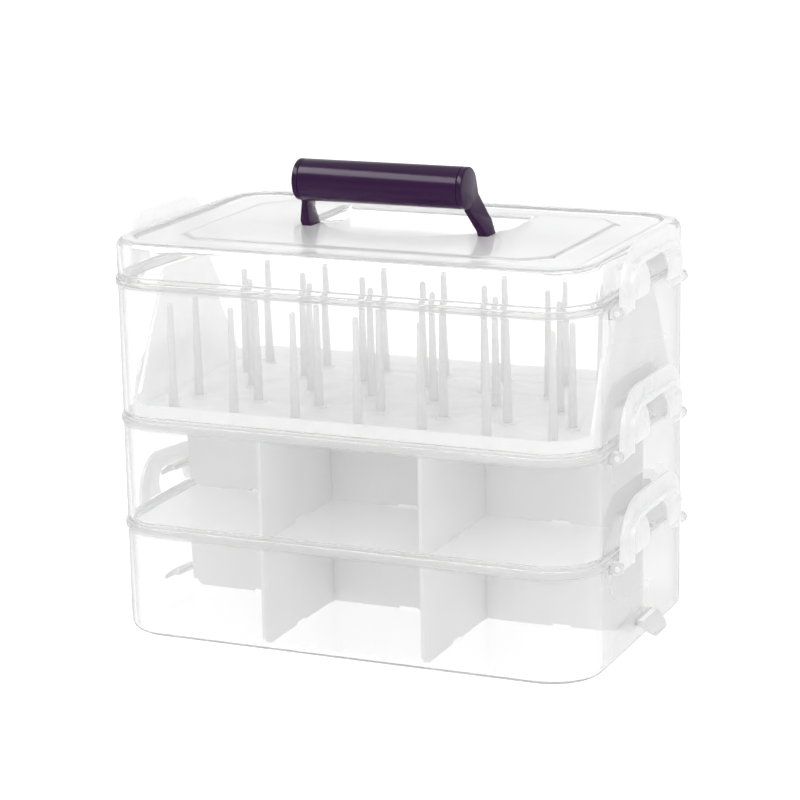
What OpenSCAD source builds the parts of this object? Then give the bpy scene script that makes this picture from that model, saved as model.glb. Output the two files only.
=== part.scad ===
// Stacking thread box: two divided boxes, a spool box with a pin tray, and a lid with a folding handle.
// The origin is the centre of the base, +Z is up and the front faces -Y. All sizes are in millimetres.

/* [Stack] */
// Width over the rims, left to right
stack_w = 234; // [210:1:280]
// Depth over the rims, front to back
stack_d = 150; // [138:1:190]
// Corner radius of the rims
corner_r = 25; // [18:1:28]
// Thickness of the clear walls and floors
wall = 1.8; // [1.4:0.1:2.4]
// Height of the bottom box, floor to rim
bottom_h = 52; // [44:1:80]
// Height that the middle box adds to the stack
middle_h = 50; // [44:1:80]
// Height that the spool box adds to the stack
top_h = 64; // [60:1:90]
// Height that the lid adds to the stack
lid_h = 18; // [16:1:24]

/* [Rims and feet] */
// Height of the thick band round each rim
rim_h = 3; // [2:0.5:5]
// How far the band stands out of the wall
rim_out = 1; // [0.5:0.1:2]
// How deep each foot drops into the rim below it
foot_h = 3; // [2:0.5:5]
// Gap round each foot
nest_gap = 0.3; // [0.2:0.05:0.6]
// Radius of the rounded edge under the bottom box
base_r = 4; // [3:0.5:6]

/* [Latches] */
// Width of a latch along the end wall
latch_w = 82; // [76:1:84]
// Height of a latch above its hinge axis
latch_rise = 27.5; // [26:0.5:34]
// Thickness of a latch's plate
latch_t = 1.6; // [1.2:0.1:2]
// Radius of a latch's upper corners
latch_r = 22; // [14:1:26]
// Width of the arched window in a latch
window_w = 62; // [58:1:64]
// Top of the window above the hinge axis
window_rise = 18; // [17:0.5:20]
// Radius of the window's upper corners
window_r = 11; // [6:1:14]
// Width and height of the raised lip round the window
window_lip = 2.2; // [1.5:0.1:3]
// Width of each thumb pad in the window
pad_w = 16; // [12:1:18]
// How far the thumb pads bulge out past the hinge axis
pad_out = 4.7; // [4.4:0.1:5.5]
// Radius of a latch's hinge pins
pin_r = 1.25; // [1:0.05:1.5]
// Thickness of the lugs that hold the hinge pins
lug_t = 3; // [2:0.5:4]
// Width of the ledges that the latches hook over
ledge_w = 20; // [14:1:24]
// How far the ledges stand out of the wall
ledge_out = 9.5; // [8:0.1:10]

/* [Lid] */
// Radius of the lid's rounded top edge
lid_r = 4; // [3:0.5:5]
// Width of the raised bead inside that edge
bead_w = 4; // [3:0.5:6]
// How far the flat band lies below the bead
band_drop = 1.4; // [1:0.1:2]
// Width of the raised panel
panel_w = 180; // [150:1:190]
// Depth of the raised panel
panel_d = 103; // [98:1:110]
// Height of the panel above the band
panel_rise = 1; // [0.6:0.1:1.3]
// Cut across the panel's corners
panel_cut = 11; // [3:1:14]
// Half the width of the basin that the handle folds into
basin_half_w = 48.5; // [48.5:0.5:54]
// Depth of the basin below the panel
basin_depth = 5.6; // [5.2:0.1:6]
// Rear edge of the basin, behind the centre
basin_rear = 47; // [46.5:0.5:48]
// Front end of the basin's curved edge, ahead of the centre
basin_front = 20; // [14:1:24]

/* [Handle] */
// Length of the grip between its end discs
grip_len = 77.2; // [70:0.2:78]
// Outer radius of the grip
grip_r = 9.5; // [8:0.5:9.5]
// Distance from the pivot to the middle of the grip
grip_reach = 33.3; // [33:0.1:36]
// Forward lean of the handle at rest, degrees
handle_lean = 32.7; // [25:0.1:35]
// Angle that the handle folds back through, degrees
handle_fold = 105; // [95:1:107]
// Distance of the pivots behind the centre
pivot_y = 0.5; // [-1:0.5:3]
// Half the distance between the two legs
leg_x = 43.5; // [42.5:0.1:44]
// Thickness of a leg, left to right
leg_t = 5; // [4:0.1:5]
// Width of a leg, front to back
leg_w = 9; // [7:0.5:9]
// Radius of the pivot pins on the legs
trunnion_r = 1.6; // [1.2:0.1:2]

/* [Dividers] */
// Thickness of the dividers
divider_t = 1.6; // [1.2:0.1:2.4]
// Place of the long divider behind the centre
long_divider_y = 3; // [-10:1:10]
// Distance of each cross divider from the centre
cross_divider_x = 39; // [30:1:50]

/* [Spool tray] */
// Height of the tray's rim over its floor
tray_rim_h = 6; // [4:0.5:10]
// Thickness of the tray's floor
tray_floor = 2.2; // [2:0.1:3]
// Width of an end panel where it leaves the rim
panel_foot_w = 102; // [80:1:106]
// Width of an end panel at its top
panel_top_w = 52; // [36:1:70]
// Radius of an end panel's upper corners
panel_top_r = 9; // [5:1:14]
// Spool pins in a full row
pins_per_row = 7; // [5:1:7]
// Distance of a full row's end pins from the stack's ends
pin_margin = 24.3; // [22:0.1:32]
// Distance of the front and rear rows from the stack's front and rear
row_margin = 25; // [23:1:32]
// Height of the spool pins above the tray's floor
spool_pin_h = 51; // [40:1:54]
// Radius of a spool pin at its foot
spool_pin_r = 2.2; // [1.8:0.1:2.6]
// Radius of a spool pin at its tip
spool_tip_r = 1.3; // [1:0.1:1.6]

/* [Hidden] */
$fn = 64;
end_x = stack_w / 2 - rim_out;
foot_out = rim_out + wall + nest_gap;
foot_in = foot_out + wall;
middle_seat = bottom_h;
top_seat = middle_seat + middle_h;
lid_seat = top_seat + top_h;
arc_steps = 6;

// Latch hinge, measured from the rim below and from the rim's outer face
axis_drop = 5;
axis_out = 2.9;
axis_x = stack_w / 2 + axis_out;
pin_gap = 0.05;
barrel_r = 2.4;
lug_r = 2.8;
side_gap = 0.3;
lug_y = latch_w / 2 + side_gap;
plate_x = -0.2;

// Ledge: it ends just under the window's top edge and falls away outwards, so that the latch can swing off it
hook_gap = 0.35;
ledge_top = window_rise - axis_drop - hook_gap;
ledge_tip = end_x + ledge_out - axis_x;
ledge_fall = 1.01;
ledge_tip_top = ledge_top - ledge_fall * ledge_tip;
ledge_lip = 1.6;
ledge_t = 2.4;
ledge_under = -1.5;
ledge_round = 4;
ledge_root = 1;

// Thumb pads, measured from the hinge axis
pad_top = window_rise + window_lip / 2;
pad_low = axis_drop - 1.5;
pad_slit = 1;
bulge_z = 8.5;
bulge_r = 18.7;

// Lid levels above the lid's seat
band_top = lid_h - band_drop;
panel_top = band_top + panel_rise;
basin_floor = panel_top - basin_depth;
pivot_z = panel_top - 4.8;
ring_in = rim_out + lid_r + bead_w + 4;
ring_lap = 2;
slot_gap = 0.3;
slot_half = leg_t / 2 + slot_gap;
slot_wall = 2.4;
slot_floor = pivot_z - leg_w / 2 - 0.5;
slot_front = pivot_y - (panel_top - pivot_z) * tan(handle_lean) - leg_w / 2 / cos(handle_lean) - slot_gap;
slot_rear = pivot_y + 15;
basin_arc_half = basin_half_w - 5;
basin_arc_y = 8;
basin_arc_rise = basin_arc_y + basin_front;
basin_arc_r = (pow(basin_arc_half, 2) + pow(basin_arc_rise, 2)) / (2 * basin_arc_rise);

// Handle
disc_t = 2.8;
spigot_r = grip_r - 3;
spigot_len = 6;
spigot_gap = 0.1;
leg_straight = 7;

// Dividers: the lower part is narrower, to pass the foot step and the base's rounded edge
divider_gap = 0.4;
divider_step = foot_h + divider_gap;
divider_corner = 4;
divider_top_gap = 0.5;
notch_gap = 0.3;
relief_w = 10;
relief_h = 1.2;

// Spool tray
tray_gap = 0.3;
tray_wall = 2;
tray_inset = foot_in + tray_gap;
tray_w = stack_w - 2 * tray_inset;
tray_d = stack_d - 2 * tray_inset;
tray_r = corner_r - tray_inset;
tray_z = top_seat - foot_h + wall;
tray_rim_top = tray_z + tray_floor + tray_rim_h;
panel_z = lid_seat - foot_h - 1;
socket_gap = 0.05;
socket_depth = 2.4;
boss_r = spool_pin_r + 1.4;
boss_h = 1;
row_total = 5;
pin_pitch = (stack_w - 2 * pin_margin) / (pins_per_row - 1);
row_pitch = (stack_d - 2 * row_margin) / (row_total - 1);

CLEAR = [0.93, 0.95, 0.96, 0.35];
FROSTED = [0.84, 0.86, 0.88];
MILKY = [0.93, 0.95, 0.96, 0.8];
AUBERGINE = [0.19, 0.10, 0.21];

// Points on an arc, with both ends
function arc(cx, cy, r, a0, a1) =
    [for (i = [0 : arc_steps]) [cx + r * cos(a0 + (a1 - a0) * i / arc_steps),
                                cy + r * sin(a0 + (a1 - a0) * i / arc_steps)]];

// Rounded rectangle, centred
module round_rect(w, d, r) {
    square([w - 2 * r, d], center = true);
    square([w, d - 2 * r], center = true);
    for (sx = [-1, 1], sy = [-1, 1])
        translate([sx * (w / 2 - r), sy * (d / 2 - r)]) circle(r = r);
}

// Plate that follows the stack's outline, inset from the rim's outer face
module stack_plate(inset, z, h) {
    translate([0, 0, z])
        linear_extrude(height = h)
            round_rect(stack_w - 2 * inset, stack_d - 2 * inset, corner_r - inset);
}

// Sweeps a wall section round the stack's outline; X = 0 of the section is the rim's outer face
module around_stack() {
    flat_w = stack_w - 2 * corner_r;
    flat_d = stack_d - 2 * corner_r;
    for (i = [0 : 3]) {
        sx = (i == 0 || i == 3) ? 1 : -1;
        sy = i < 2 ? 1 : -1;
        translate([sx * flat_w / 2, sy * flat_d / 2, 0])
            rotate([0, 0, 90 * i])
                rotate_extrude(angle = 90)
                    translate([corner_r, 0]) children();
    }
    for (s = [0, 1]) {
        rotate([0, 0, 180 * s])
            translate([flat_w / 2, flat_d / 2, 0])
                rotate([90, 0, 0])
                    linear_extrude(height = flat_d)
                        translate([corner_r, 0]) children();
        rotate([0, 0, 180 * s + 90])
            translate([flat_d / 2, flat_w / 2, 0])
                rotate([90, 0, 0])
                    linear_extrude(height = flat_w)
                        translate([corner_r, 0]) children();
    }
}

// Rim band and wall down to the level z, outer face first
function rim_points(z, h) = [
    [-rim_out, z], [-rim_out, h - rim_h], [0, h - rim_h], [0, h], [-rim_out - wall, h]
];

// Wall of the bottom box, with the rounded edge round its base
module plain_wall(h) {
    in = rim_out + base_r;
    polygon(concat(
        arc(-in, base_r, base_r, -90, 0),
        rim_points(base_r, h),
        arc(-in, base_r, base_r - wall, 0, -90)
    ));
}

// Foot that drops into the rim below, up to the inner side of the shoulder
function foot_points() = [
    [-rim_out - wall, wall], [-foot_in, wall], [-foot_in, -foot_h], [-foot_out, -foot_h],
    [-foot_out, 0], [-rim_out, 0]
];

module footed_wall(h) {
    polygon(concat(foot_points(), rim_points(0, h)));
}

// Section of a ledge; X = 0 is the hinge axis of the latch that hooks over it
module ledge_section() {
    root = end_x - axis_x - ledge_root;
    polygon([
        [root, ledge_top], [0, ledge_top], [ledge_tip, ledge_tip_top],
        [ledge_tip, ledge_tip_top - ledge_lip], [ledge_under, ledge_top - ledge_t], [root, ledge_top - ledge_t]
    ]);
}

// Ledge at both ends that the latches below it hook over
module ledges() {
    side = ledge_w / 2 - ledge_round;
    for (m = [0, 1])
        mirror([m, 0, 0])
            intersection() {
                translate([axis_x, ledge_w / 2, 0])
                    rotate([90, 0, 0])
                        linear_extrude(height = ledge_w) ledge_section();
                linear_extrude(height = ledge_top + 1) {
                    for (s = [-1, 1])
                        translate([end_x + ledge_out - ledge_round, s * side]) circle(r = ledge_round);
                    translate([0, -side]) square([end_x + ledge_out, 2 * side]);
                    translate([0, -ledge_w / 2]) square([end_x + ledge_out - ledge_round, ledge_w]);
                }
            }
}

// Lugs under the rim at both ends, which hold the latches' hinge pins
module lugs(rim_z) {
    for (m = [0, 1], s = [-1, 1])
        mirror([m, 0, 0])
            translate([axis_x, s > 0 ? lug_y : -lug_y - lug_t, rim_z - axis_drop])
                difference() {
                    union() {
                        rotate([-90, 0, 0]) cylinder(r = lug_r, h = lug_t);
                        translate([-axis_out - rim_out - 1, 0, -lug_r])
                            cube([axis_out + rim_out + 1, lug_t, 2 * lug_r]);
                    }
                    translate([0, -1, 0])
                        rotate([-90, 0, 0]) cylinder(r = pin_r + pin_gap, h = lug_t + 2);
                }
}

module footed_box(seat, h) {
    translate([0, 0, seat]) {
        around_stack() footed_wall(h);
        stack_plate(foot_in - wall / 2, -foot_h, wall);
        ledges();
        lugs(h);
    }
}

module bottom_box() {
    color(CLEAR) union() {
        around_stack() plain_wall(bottom_h);
        stack_plate(rim_out + base_r - 0.5, 0, wall);
        ledges();
        lugs(bottom_h);
    }
}

module middle_box() {
    color(CLEAR) union() footed_box(middle_seat, middle_h);
}

module top_box() {
    color(CLEAR) union() footed_box(top_seat, top_h);
}

// Section of the lid's foot, skirt, rounded edge and bead
module lid_wall() {
    in = rim_out + lid_r;
    edge_z = lid_h - lid_r;
    bead_in = in + bead_w;
    polygon(concat(
        foot_points(),
        arc(-in, edge_z, lid_r, 0, 90),
        [[-bead_in, lid_h], [-bead_in - band_drop, band_top], [-ring_in, band_top], [-ring_in, band_top - wall]],
        [[-bead_in - band_drop, band_top - wall], [-bead_in, lid_h - wall]],
        arc(-in, edge_z, lid_r - wall, 90, 0)
    ));
}

// Outline of the basin, larger all round by grow
module basin_outline(grow) {
    translate([-basin_half_w - grow, basin_arc_y - grow])
        square([2 * (basin_half_w + grow), basin_rear - basin_arc_y + 2 * grow]);
    intersection() {
        translate([0, basin_arc_r - basin_front]) circle(r = basin_arc_r + grow);
        translate([-basin_half_w - grow, -basin_front - grow])
            square([2 * (basin_half_w + grow), basin_front + basin_arc_y + grow]);
    }
}

// Block round a leg's slot, or the slot itself, larger all round by grow
module leg_slots(grow, z, h) {
    for (m = [0, 1])
        mirror([m, 0, 0])
            translate([leg_x - slot_half - grow, slot_front - grow, z])
                cube([2 * (slot_half + grow), slot_rear - slot_front + 2 * grow, h]);
}

module panel_outline() {
    intersection() {
        square([panel_w, panel_d], center = true);
        rotate([0, 0, 45])
            square((panel_w + panel_d - 2 * panel_cut) / sqrt(2), center = true);
    }
}

module lid() {
    above = panel_top + 1;
    color(CLEAR) translate([0, 0, lid_seat]) difference() {
        union() {
            around_stack() lid_wall();
            stack_plate(ring_in - ring_lap, band_top - wall, wall);
            translate([0, 0, band_top - wall / 2])
                linear_extrude(height = panel_rise + wall / 2) panel_outline();
            translate([0, 0, basin_floor - wall])
                linear_extrude(height = band_top - basin_floor) basin_outline(wall);
            leg_slots(slot_wall, slot_floor - wall, band_top - slot_floor);
            ledges();
        }
        translate([0, 0, basin_floor]) linear_extrude(height = above - basin_floor) basin_outline(0);
        leg_slots(0, slot_floor, above - slot_floor);
        for (m = [0, 1])
            mirror([m, 0, 0])
                translate([leg_x - slot_half - slot_wall - 1, pivot_y, pivot_z])
                    rotate([0, 90, 0])
                        cylinder(r = trunnion_r + pin_gap, h = 2 * (slot_half + slot_wall + 1));
    }
}

// Places a handle piece: pivot axis at the origin, legs up along Z, then the forward lean
module at_pivot() {
    translate([0, pivot_y, lid_seat + pivot_z]) rotate([handle_lean, 0, 0]) children();
}

module handle_grip() {
    color(AUBERGINE) at_pivot()
        translate([-grip_len / 2, 0, grip_reach])
            rotate([0, 90, 0])
                difference() {
                    cylinder(r = grip_r, h = grip_len);
                    translate([0, 0, -1]) cylinder(r = spigot_r + spigot_gap, h = grip_len + 2);
                }
}

// One arm: end disc with its spigot in the grip, a leg that splays out, and the pivot pins
module handle_arm() {
    leg_top = grip_reach - grip_r + 4;
    leg_low = leg_w / 2 + leg_straight;
    disc_x = grip_len / 2;
    translate([disc_x, 0, grip_reach]) rotate([0, 90, 0]) cylinder(r = grip_r, h = disc_t);
    translate([disc_x - spigot_len, 0, grip_reach])
        rotate([0, 90, 0]) cylinder(r = spigot_r, h = spigot_len + disc_t / 2);
    hull() {
        translate([disc_x, 0, grip_reach]) rotate([0, 90, 0]) cylinder(r = grip_r - 0.5, h = disc_t, $fn = 32);
        translate([disc_x, 0, leg_top - grip_r])
            rotate([0, 90, 0]) cylinder(r = leg_w / 2, h = disc_t + 1, $fn = 32);
    }
    hull() {
        translate([disc_x, -leg_w / 2, leg_top - grip_r]) cube([disc_t + 1, leg_w, 1]);
        translate([leg_x - leg_t / 2, -leg_w / 2, leg_low]) cube([leg_t, leg_w, 1]);
    }
    translate([leg_x - leg_t / 2, -leg_w / 2, 0]) cube([leg_t, leg_w, leg_low + 1]);
    translate([leg_x - leg_t / 2, 0, 0]) rotate([0, 90, 0]) cylinder(r = leg_w / 2, h = leg_t);
    translate([leg_x - slot_half - slot_wall, 0, 0])
        rotate([0, 90, 0]) cylinder(r = trunnion_r, h = 2 * (slot_half + slot_wall));
}

module handle_left_arm() {
    color(AUBERGINE) at_pivot() mirror([1, 0, 0]) handle_arm();
}

module handle_right_arm() {
    color(AUBERGINE) at_pivot() handle_arm();
}

// Outline of a latch or of its window: straight sides, rounded top corners, Y along the wall, Z up
module arch_outline(w, top, r) {
    intersection() {
        translate([-w / 2, 0]) square([w, top]);
        translate([0, top / 2 - r]) round_rect(w, top + 2 * r, r);
    }
}

// Section of a thumb pad, which hangs from the window's top edge and bulges outwards
module pad_section() {
    in_r = bulge_r - latch_t;
    a_top = asin((pad_top - bulge_z) / bulge_r);
    a_low = asin((pad_low - bulge_z) / bulge_r);
    in_top = asin((pad_top - latch_t - bulge_z) / in_r);
    in_low = asin((pad_low - bulge_z) / in_r);
    polygon(concat(
        [[plate_x, pad_top], [plate_x, pad_top - latch_t]],
        arc(pad_out - bulge_r, bulge_z, in_r, in_top, in_low),
        arc(pad_out - bulge_r, bulge_z, bulge_r, a_low, a_top)
    ));
}

// A latch on the right-hand end, with its hinge axis through the origin
module latch() {
    half = window_w / 2;
    pad_y = half - pad_slit - pad_w;
    translate([plate_x, 0, 0]) rotate([90, 0, 90]) linear_extrude(height = latch_t)
        difference() {
            arch_outline(latch_w, latch_rise, latch_r);
            translate([0, -1]) arch_outline(window_w, window_rise + 1, window_r);
        }
    translate([plate_x, 0, 0]) rotate([90, 0, 90]) linear_extrude(height = latch_t + window_lip)
        difference() {
            arch_outline(window_w + 2 * window_lip, window_rise + window_lip, window_r + window_lip);
            translate([0, -1]) arch_outline(window_w, window_rise + 1, window_r);
        }
    for (s = [-1, 1]) {
        translate([0, s > 0 ? pad_y + pad_w : -pad_y, 0])
            rotate([90, 0, 0]) linear_extrude(height = pad_w) pad_section();
        translate([0, s > 0 ? half : -latch_w / 2, 0])
            rotate([-90, 0, 0]) cylinder(r = barrel_r, h = latch_w / 2 - half);
        translate([0, s > 0 ? latch_w / 2 - 1 : -lug_y - lug_t, 0])
            rotate([-90, 0, 0]) cylinder(r = pin_r, h = lug_t + side_gap + 1);
    }
}

module latch_at(rim_z, side) {
    color(MILKY) mirror([side < 0 ? 1 : 0, 0, 0])
        translate([axis_x, 0, rim_z - axis_drop]) latch();
}

module latch_bottom_left() { latch_at(middle_seat, -1); }
module latch_bottom_right() { latch_at(middle_seat, 1); }
module latch_middle_left() { latch_at(top_seat, -1); }
module latch_middle_right() { latch_at(top_seat, 1); }
module latch_top_left() { latch_at(lid_seat, -1); }
module latch_top_right() { latch_at(lid_seat, 1); }

// Face of a divider, from its lower edge up, with reliefs under the middle of each bay
module divider_face(from, to, h, bays) {
    inset = foot_in - rim_out - wall + tray_gap - divider_gap;
    low = divider_step;
    r = divider_corner;
    difference() {
        union() {
            translate([from, low]) square([to - from, h - low]);
            translate([from + inset, r]) square([to - from - 2 * inset, h - r]);
            translate([from + inset + r, 0]) square([to - from - 2 * (inset + r), h]);
            for (x = [from + inset + r, to - inset - r]) translate([x, r]) circle(r = r);
        }
        for (x = bays) translate([x - relief_w / 2, -1]) square([relief_w, relief_h + 1]);
    }
}

// Long divider with notches from its top edge, where the cross dividers drop in
module long_divider(z, h) {
    half = end_x - wall - divider_gap;
    notch = divider_t + notch_gap;
    middle = (half + cross_divider_x) / 2;
    color(FROSTED) translate([0, long_divider_y + divider_t / 2, z])
        rotate([90, 0, 0]) linear_extrude(height = divider_t)
            difference() {
                divider_face(-half, half, h, [-middle, 0, middle]);
                for (s = [-1, 1])
                    translate([s * cross_divider_x - notch / 2, h / 2]) square([notch, h]);
            }
}

// Cross divider with a notch from its lower edge, over the long divider
module cross_divider(x, z, h) {
    half = stack_d / 2 - rim_out - wall - divider_gap;
    notch = divider_t + notch_gap;
    front = (long_divider_y - half) / 2;
    rear = (long_divider_y + half) / 2;
    color(FROSTED) translate([x - divider_t / 2, 0, z])
        rotate([90, 0, 90]) linear_extrude(height = divider_t)
            difference() {
                divider_face(-half, half, h, [front, rear]);
                translate([long_divider_y - notch / 2, -1]) square([notch, h / 2 + 1]);
            }
}

bottom_floor_z = wall;
bottom_divider_h = middle_seat - foot_h - divider_top_gap - bottom_floor_z;
middle_floor_z = middle_seat - foot_h + wall;
middle_divider_h = top_seat - foot_h - divider_top_gap - middle_floor_z;

module bottom_long_divider() { long_divider(bottom_floor_z, bottom_divider_h); }
module bottom_cross_divider_left() { cross_divider(-cross_divider_x, bottom_floor_z, bottom_divider_h); }
module bottom_cross_divider_right() { cross_divider(cross_divider_x, bottom_floor_z, bottom_divider_h); }
module middle_long_divider() { long_divider(middle_floor_z, middle_divider_h); }
module middle_cross_divider_left() { cross_divider(-cross_divider_x, middle_floor_z, middle_divider_h); }
module middle_cross_divider_right() { cross_divider(cross_divider_x, middle_floor_z, middle_divider_h); }

// Rows 1, 2, 4 and 5 line up; the middle row stands between their pins
function row_y(row) = row_margin - stack_d / 2 + (row - 1) * row_pitch;
function row_count(row) = row == 3 ? pins_per_row - 1 : pins_per_row;

module each_pin(row) {
    n = row_count(row);
    for (i = [0 : n - 1])
        translate([(i - (n - 1) / 2) * pin_pitch, row_y(row), tray_z + tray_floor]) children();
}

module end_panel() {
    rotate([90, 0, 90]) linear_extrude(height = tray_wall)
        hull() {
            for (s = [-1, 1])
                translate([s * (panel_top_w / 2 - panel_top_r), panel_z - panel_top_r]) circle(r = panel_top_r);
            translate([-panel_foot_w / 2, tray_rim_top - 1]) square([panel_foot_w, 1]);
        }
}

module spool_tray() {
    color(MILKY) difference() {
        union() {
            difference() {
                translate([0, 0, tray_z])
                    linear_extrude(height = tray_rim_top - tray_z) round_rect(tray_w, tray_d, tray_r);
                translate([0, 0, tray_z + tray_floor])
                    linear_extrude(height = tray_rim_top)
                        round_rect(tray_w - 2 * tray_wall, tray_d - 2 * tray_wall, tray_r - tray_wall);
            }
            translate([tray_w / 2 - tray_wall, 0, 0]) end_panel();
            translate([-tray_w / 2, 0, 0]) end_panel();
            for (row = [1 : row_total]) each_pin(row) cylinder(r = boss_r, h = boss_h);
        }
        for (row = [1 : row_total])
            each_pin(row)
                translate([0, 0, boss_h - socket_depth])
                    cylinder(r = spool_pin_r + socket_gap, h = socket_depth + 1);
    }
}

module spool_pins(row) {
    color(MILKY) each_pin(row) {
        translate([0, 0, boss_h - socket_depth]) cylinder(r = spool_pin_r, h = socket_depth);
        translate([0, 0, boss_h])
            cylinder(r1 = spool_pin_r, r2 = spool_tip_r, h = spool_pin_h - boss_h - spool_tip_r);
        translate([0, 0, spool_pin_h - spool_tip_r]) sphere(r = spool_tip_r);
    }
}

module spool_pins_row_1() { spool_pins(1); }
module spool_pins_row_2() { spool_pins(2); }
module spool_pins_row_3() { spool_pins(3); }
module spool_pins_row_4() { spool_pins(4); }
module spool_pins_row_5() { spool_pins(5); }

bottom_box();
middle_box();
top_box();
lid();
handle_grip();
handle_left_arm();
handle_right_arm();
latch_bottom_left();
latch_bottom_right();
latch_middle_left();
latch_middle_right();
latch_top_left();
latch_top_right();
bottom_long_divider();
bottom_cross_divider_left();
bottom_cross_divider_right();
middle_long_divider();
middle_cross_divider_left();
middle_cross_divider_right();
spool_tray();
spool_pins_row_1();
spool_pins_row_2();
spool_pins_row_3();
spool_pins_row_4();
spool_pins_row_5();
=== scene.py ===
import math

import bmesh
import bpy
from mathutils import Matrix, Vector


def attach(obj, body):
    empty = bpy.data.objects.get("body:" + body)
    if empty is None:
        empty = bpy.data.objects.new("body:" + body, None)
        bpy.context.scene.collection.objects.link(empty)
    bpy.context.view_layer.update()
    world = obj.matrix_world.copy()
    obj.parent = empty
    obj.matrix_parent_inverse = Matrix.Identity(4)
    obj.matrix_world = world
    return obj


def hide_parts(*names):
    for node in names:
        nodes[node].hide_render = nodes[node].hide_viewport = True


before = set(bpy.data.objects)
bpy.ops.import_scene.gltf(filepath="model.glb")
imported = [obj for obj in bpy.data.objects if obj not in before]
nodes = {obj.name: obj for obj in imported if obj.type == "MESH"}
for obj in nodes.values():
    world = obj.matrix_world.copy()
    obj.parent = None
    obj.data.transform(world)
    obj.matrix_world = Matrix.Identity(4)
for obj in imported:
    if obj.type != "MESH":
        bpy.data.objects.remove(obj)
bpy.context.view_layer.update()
mm = 0.001
print("stage: frame loaded,", len(nodes), "nodes")


# Colours and materials

def hexColour(code):
    # sRGB hex to the linear values that shaders take
    parts = [int(code[i:i + 2], 16) / 255 for i in (1, 3, 5)]
    return tuple(c / 12.92 if c <= 0.04045 else ((c + 0.055) / 1.055) ** 2.4 for c in parts) + (1.0,)


def addNode(tree, kind, settings=None, links=None):
    # settings: node properties, or "in:NAME" for a socket's own value; links: {input: (node, output)}
    made = tree.nodes.new(kind)
    for key, value in (settings or {}).items():
        if key.startswith("in:"):
            name = key[3:]
            made.inputs[int(name) if name.isdigit() else name].default_value = value
        else:
            setattr(made, key, value)
    for name, (source, output) in (links or {}).items():
        tree.links.new(source.outputs[output], made.inputs[int(name) if name.isdigit() else name])
    return made


def newMaterial(name):
    mat = bpy.data.materials.new(name)
    mat.use_nodes = True
    mat.node_tree.nodes.clear()
    return mat, mat.node_tree


def unevenness(tree, scale, low, high):
    # a slow noise between two values, which keeps a moulded surface from looking perfect
    place = addNode(tree, "ShaderNodeTexCoord")
    noise = addNode(tree, "ShaderNodeTexNoise",
                    {"in:Scale": scale, "in:Detail": 3.0, "in:Roughness": 0.55},
                    {"Vector": (place, "Object")})
    return addNode(tree, "ShaderNodeMapRange",
                   {"in:From Min": 0.3, "in:From Max": 0.7, "in:To Min": low, "in:To Max": high},
                   {"Value": (noise, "Fac")})


def mouldBump(tree, scale, strength, distance):
    place = addNode(tree, "ShaderNodeTexCoord")
    noise = addNode(tree, "ShaderNodeTexNoise", {"in:Scale": scale, "in:Detail": 2.0},
                    {"Vector": (place, "Object")})
    return addNode(tree, "ShaderNodeBump", {"in:Strength": strength, "in:Distance": distance},
                   {"Height": (noise, "Fac")})


def letLightThrough(tree, surface, tint):
    # shadow and diffuse rays pass straight on, so what stands inside the clear walls is lit
    path = addNode(tree, "ShaderNodeLightPath")
    soft = addNode(tree, "ShaderNodeMath", {"operation": "MAXIMUM"},
                   {"0": (path, "Is Shadow Ray"), "1": (path, "Is Diffuse Ray")})
    straight = addNode(tree, "ShaderNodeBsdfTransparent", {"in:Color": hexColour(tint)})
    mix = addNode(tree, "ShaderNodeMixShader", None,
                  {"0": (soft, "Value"), "1": (surface, 0), "2": (straight, "BSDF")})
    addNode(tree, "ShaderNodeOutputMaterial", None, {"Surface": (mix, "Shader")})


rimMilk = {0.0505: 1.0, 0.1005: 1.0, 0.1645: 0.4}   # a rim's middle height in metres: how milky it is
rimFull, rimEnd = 0.0018, 0.0034   # distance from that height to which the milk is full, and where it ends
outsideWalls = 0.1172              # past this on X stand only the lugs and ledges


def thickPlaces(tree, split):
    # up to 1 in the thick rims, lugs and ledges, 0 in the thin walls
    bands = []
    for level, milk in rimMilk.items():
        below = addNode(tree, "ShaderNodeMath", {"operation": "SUBTRACT", "in:1": level}, {"0": (split, "Z")})
        far = addNode(tree, "ShaderNodeMath", {"operation": "ABSOLUTE"}, {"0": (below, 0)})
        bands.append(addNode(tree, "ShaderNodeMapRange",
                             {"in:From Min": rimFull, "in:From Max": rimEnd,
                              "in:To Min": milk, "in:To Max": 0.0},
                             {"Value": (far, 0)}))
    aside = addNode(tree, "ShaderNodeMath", {"operation": "ABSOLUTE"}, {"0": (split, "X")})
    bands.append(addNode(tree, "ShaderNodeMapRange",
                         {"in:From Min": outsideWalls, "in:From Max": outsideWalls + 0.0005},
                         {"Value": (aside, 0)}))
    most = bands[0]
    for band in bands[1:]:
        most = addNode(tree, "ShaderNodeMath", {"operation": "MAXIMUM"}, {"0": (most, 0), "1": (band, 0)})
    return most


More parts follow.
